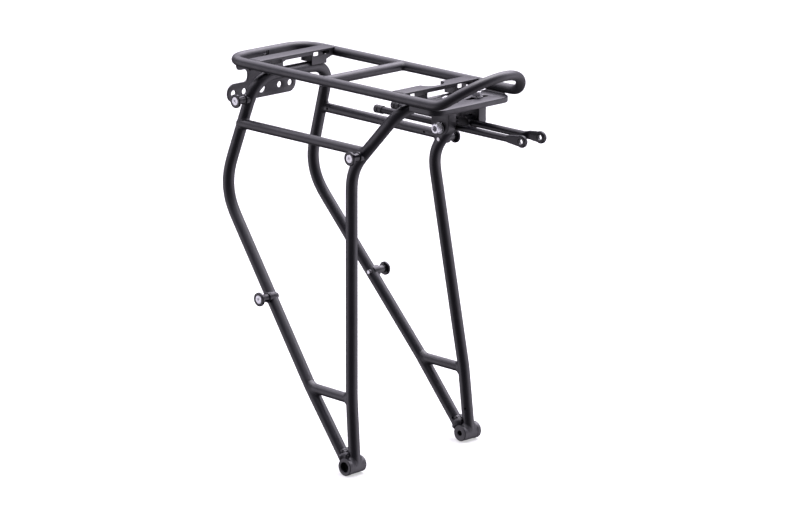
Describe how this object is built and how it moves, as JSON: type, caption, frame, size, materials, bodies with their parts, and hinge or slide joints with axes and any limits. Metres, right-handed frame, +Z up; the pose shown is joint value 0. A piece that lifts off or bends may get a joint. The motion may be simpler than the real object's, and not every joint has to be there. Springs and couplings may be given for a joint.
{
  "type": "bicycle rear rack",
  "caption": "Tubular rear rack with a looped deck, two leg arches, pannier studs, a tail-light plate and two sliding, tilting front stays",
  "frame": {"origin": "the bottom centre of the rack's bounds: the lowest line of the foot bosses, midway along the rack's length, on its middle plane", "axes": "+X forward along the bicycle, towards the stay eyelets; +Y to the bicycle's left; +Z up"},
  "size_m": [0.3844, 0.1894, 0.418],
  "materials": {
    "powder_coat": "matte black powder coat over aluminium tube",
    "anodised_black": "satin black anodised",
    "zinc_plate": "bright zinc plated steel",
    "cap_plastic": "moulded black plastic"
  },
  "bodies": {
    "frame": {"deck_loop_tube": "powder_coat", "deck_cross_tube": "powder_coat", "front_leg_arch": "powder_coat", "rear_leg_arch": "powder_coat", "rear_deck_plate": "powder_coat", "front_deck_plate": "powder_coat", "tail_light_plate": "powder_coat", "cable_hook": "powder_coat", "bridge_bar": "powder_coat", "side_rail_left": "powder_coat", "lower_brace_left": "powder_coat", "foot_boss_left": "powder_coat", "foot_gusset_left": "powder_coat", "pannier_stud_rear_left": "anodised_black", "pannier_screw_rear_left": "zinc_plate", "pannier_lug_rear_left": "anodised_black", "pannier_stud_front_left": "anodised_black", "pannier_screw_front_left": "zinc_plate", "pannier_lug_front_left": "anodised_black", "pannier_stud_lower_left": "anodised_black", "pannier_screw_lower_left": "zinc_plate", "pannier_lug_lower_left": "anodised_black", "side_rail_right": "powder_coat", "lower_brace_right": "powder_coat", "foot_boss_right": "powder_coat", "foot_gusset_right": "powder_coat", "pannier_stud_rear_right": "anodised_black", "pannier_screw_rear_right": "zinc_plate", "pannier_lug_rear_right": "anodised_black", "pannier_stud_front_right": "anodised_black", "pannier_screw_front_right": "zinc_plate", "pannier_lug_front_right": "anodised_black", "pannier_stud_lower_right": "anodised_black", "pannier_screw_lower_right": "zinc_plate", "pannier_lug_lower_right": "anodised_black"},
    "bracket_left": {"stay_bracket_left": "powder_coat", "slot_stem_left": "zinc_plate", "slot_washer_left": "zinc_plate", "slot_nut_left": "zinc_plate"},
    "clamp_left": {"clamp_barrel_left": "anodised_black", "pivot_washer_left": "zinc_plate", "pivot_bolt_left": "zinc_plate"},
    "stay_left": {"stay_rod_left": "anodised_black", "stay_cap_left": "cap_plastic"},
    "bracket_right": {"stay_bracket_right": "powder_coat", "slot_stem_right": "zinc_plate", "slot_washer_right": "zinc_plate", "slot_nut_right": "zinc_plate"},
    "clamp_right": {"clamp_barrel_right": "anodised_black", "pivot_washer_right": "zinc_plate", "pivot_bolt_right": "zinc_plate"},
    "stay_right": {"stay_rod_right": "anodised_black", "stay_cap_right": "cap_plastic"}
  },
  "joints": [
    {"name": "bracket_slide_left", "type": "slide", "parent": "frame", "child": "bracket_left", "axis": [0, 1, 0], "range_m": [-0.005, 0.012]},
    {"name": "clamp_tilt_left", "type": "hinge", "parent": "bracket_left", "child": "clamp_left", "pos_m": [0.08995, 0.0224, 0.3558], "axis": [0, 1, 0], "range_deg": [-25, 7]},
    {"name": "stay_slide_left", "type": "slide", "parent": "clamp_left", "child": "stay_left", "axis": [1, 0, 0], "range_m": [-0.055, 0.07]},
    {"name": "bracket_slide_right", "type": "slide", "parent": "frame", "child": "bracket_right", "axis": [0, -1, 0], "range_m": [-0.005, 0.012]},
    {"name": "clamp_tilt_right", "type": "hinge", "parent": "bracket_right", "child": "clamp_right", "pos_m": [0.08995, -0.0224, 0.3558], "axis": [0, 1, 0], "range_deg": [-25, 7]},
    {"name": "stay_slide_right", "type": "slide", "parent": "clamp_right", "child": "stay_right", "axis": [1, 0, 0], "range_m": [-0.055, 0.07]}
  ]
}
